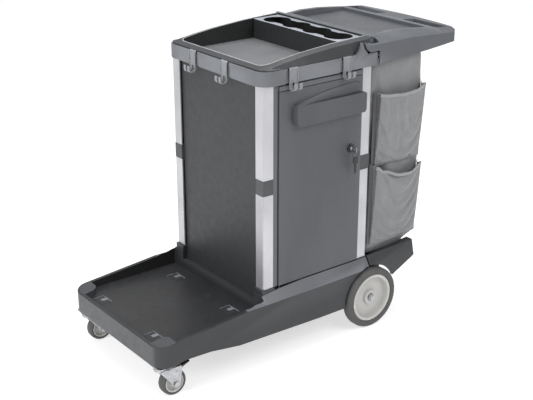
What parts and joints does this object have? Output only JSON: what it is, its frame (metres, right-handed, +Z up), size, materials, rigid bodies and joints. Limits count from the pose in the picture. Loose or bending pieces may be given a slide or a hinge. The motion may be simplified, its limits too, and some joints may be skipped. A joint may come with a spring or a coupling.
{
  "type": "housekeeping cart",
  "caption": "Wheeled housekeeping cart with an open front deck, a lockable cabinet, a top tray with a bottle caddy, and a fabric bag under a hinged hood with the push handle.",
  "frame": {"origin": "centre of the footprint's bounding box, on the floor", "axes": "+X towards the push handle, -X towards the open deck (the nose), -Y towards the door, +Z up"},
  "size_m": [1.152, 0.523, 0.9385],
  "materials": {
    "moulded_charcoal": "fine-grained moulded charcoal plastic",
    "moulded_panel": "fine vertical grain, satin",
    "moulded_trim": "fine-grained moulded grey plastic",
    "aluminium": "satin anodised, drawn lengthwise",
    "zinc_steel": "bright zinc plate",
    "bag_fabric": "coated woven polyester",
    "wheel_plastic": "smooth light grey nylon",
    "tyre_rubber": "grey non-marking rubber",
    "black_plastic": "gloss black"
  },
  "bodies": {
    "cart": {"base_platform": "moulded_charcoal", "rear_skirt": "moulded_charcoal", "post_lower_front_left": "aluminium", "post_joiner_front_left": "moulded_trim", "post_upper_front_left": "aluminium", "post_lower_front_right": "aluminium", "post_joiner_front_right": "moulded_trim", "post_upper_front_right": "aluminium", "post_lower_rear_left": "aluminium", "post_joiner_rear_left": "moulded_trim", "post_upper_rear_left": "aluminium", "post_lower_rear_right": "aluminium", "post_joiner_rear_right": "moulded_trim", "post_upper_rear_right": "aluminium", "top_frame": "moulded_trim", "hook_front_right": "zinc_steel", "hook_front_left": "zinc_steel", "hook_left_front": "zinc_steel", "hook_left_rear": "zinc_steel", "hook_right_front": "zinc_steel", "hook_right_rear": "zinc_steel", "top_tray": "moulded_charcoal", "front_panel": "moulded_panel", "rear_panel": "moulded_panel", "right_side_panel": "moulded_panel", "middle_shelf": "moulded_charcoal", "door_surround": "moulded_panel", "door_hinge_rod": "zinc_steel", "hood_hinge_rod": "zinc_steel", "waste_bag": "bag_fabric", "bag_pocket_upper": "bag_fabric", "bag_pocket_lower": "bag_fabric", "bag_frame": "zinc_steel", "rear_axle": "zinc_steel", "rear_wheel_nut_left": "zinc_steel", "rear_wheel_nut_right": "zinc_steel", "castor_plate_left": "zinc_steel", "castor_plate_right": "zinc_steel"},
    "door": {"door_panel": "moulded_panel", "door_handle": "moulded_panel", "lock_barrel": "black_plastic"},
    "lock": {"lock_plug": "zinc_steel"},
    "key": {"spare_key": "black_plastic"},
    "hood": {"hood": "moulded_charcoal"},
    "caddy": {"bottle_caddy": "moulded_trim"},
    "rear_wheel_left": {"rear_rim_left": "wheel_plastic", "rear_tyre_left": "tyre_rubber"},
    "castor_swivel_left": {"castor_fork_left": "zinc_steel", "castor_axle_left": "zinc_steel"},
    "castor_wheel_left": {"castor_rim_left": "wheel_plastic", "castor_tyre_left": "tyre_rubber"},
    "brake_pedal_left": {"castor_pedal_left": "black_plastic"},
    "rear_wheel_right": {"rear_rim_right": "wheel_plastic", "rear_tyre_right": "tyre_rubber"},
    "castor_swivel_right": {"castor_fork_right": "zinc_steel", "castor_axle_right": "zinc_steel"},
    "castor_wheel_right": {"castor_rim_right": "wheel_plastic", "castor_tyre_right": "tyre_rubber"},
    "brake_pedal_right": {"castor_pedal_right": "black_plastic"}
  },
  "joints": [
    {"name": "door_hinge", "type": "hinge", "parent": "cart", "child": "door", "pos_m": [-0.1405, -0.225, 0.541], "axis": [0, 0, -1], "range_deg": [0, 120]},
    {"name": "lock_turn", "type": "hinge", "parent": "door", "child": "lock", "pos_m": [0.1265, -0.229, 0.611], "axis": [0, -1, 0], "range_deg": [0, 90]},
    {"name": "key_swing", "type": "hinge", "parent": "lock", "child": "key", "pos_m": [0.1265, -0.252, 0.611], "axis": [0, 1, 0], "range_deg": [-40, 40]},
    {"name": "hood_hinge", "type": "hinge", "parent": "cart", "child": "hood", "pos_m": [0.2015, 0, 0.932], "axis": [0, -1, 0], "range_deg": [0, 90]},
    {"name": "caddy_lift", "type": "slide", "parent": "cart", "child": "caddy", "axis": [0, 0, 1], "range_m": [0, 0.1]},
    {"name": "rear_wheel_spin_left", "type": "hinge", "parent": "cart", "child": "rear_wheel_left", "pos_m": [0.2115, -0.2445, 0.1], "axis": [0, 1, 0], "continuous": true},
    {"name": "castor_swivel_left", "type": "hinge", "parent": "cart", "child": "castor_swivel_left", "pos_m": [-0.5415, -0.206, 0.095], "axis": [0, 0, 1], "continuous": true},
    {"name": "castor_spin_left", "type": "hinge", "parent": "castor_swivel_left", "child": "castor_wheel_left", "pos_m": [-0.5125, -0.206, 0.04], "axis": [0, 1, 0], "continuous": true},
    {"name": "brake_press_left", "type": "hinge", "parent": "castor_swivel_left", "child": "brake_pedal_left", "pos_m": [-0.4965, -0.206, 0.087], "axis": [0, 1, 0], "range_deg": [0, 15]},
    {"name": "rear_wheel_spin_right", "type": "hinge", "parent": "cart", "child": "rear_wheel_right", "pos_m": [0.2115, 0.2445, 0.1], "axis": [0, 1, 0], "continuous": true},
    {"name": "castor_swivel_right", "type": "hinge", "parent": "cart", "child": "castor_swivel_right", "pos_m": [-0.5415, 0.206, 0.095], "axis": [0, 0, 1], "continuous": true},
    {"name": "castor_spin_right", "type": "hinge", "parent": "castor_swivel_right", "child": "castor_wheel_right", "pos_m": [-0.5125, 0.206, 0.04], "axis": [0, 1, 0], "continuous": true},
    {"name": "brake_press_right", "type": "hinge", "parent": "castor_swivel_right", "child": "brake_pedal_right", "pos_m": [-0.4965, 0.206, 0.087], "axis": [0, 1, 0], "range_deg": [0, 15]}
  ]
}
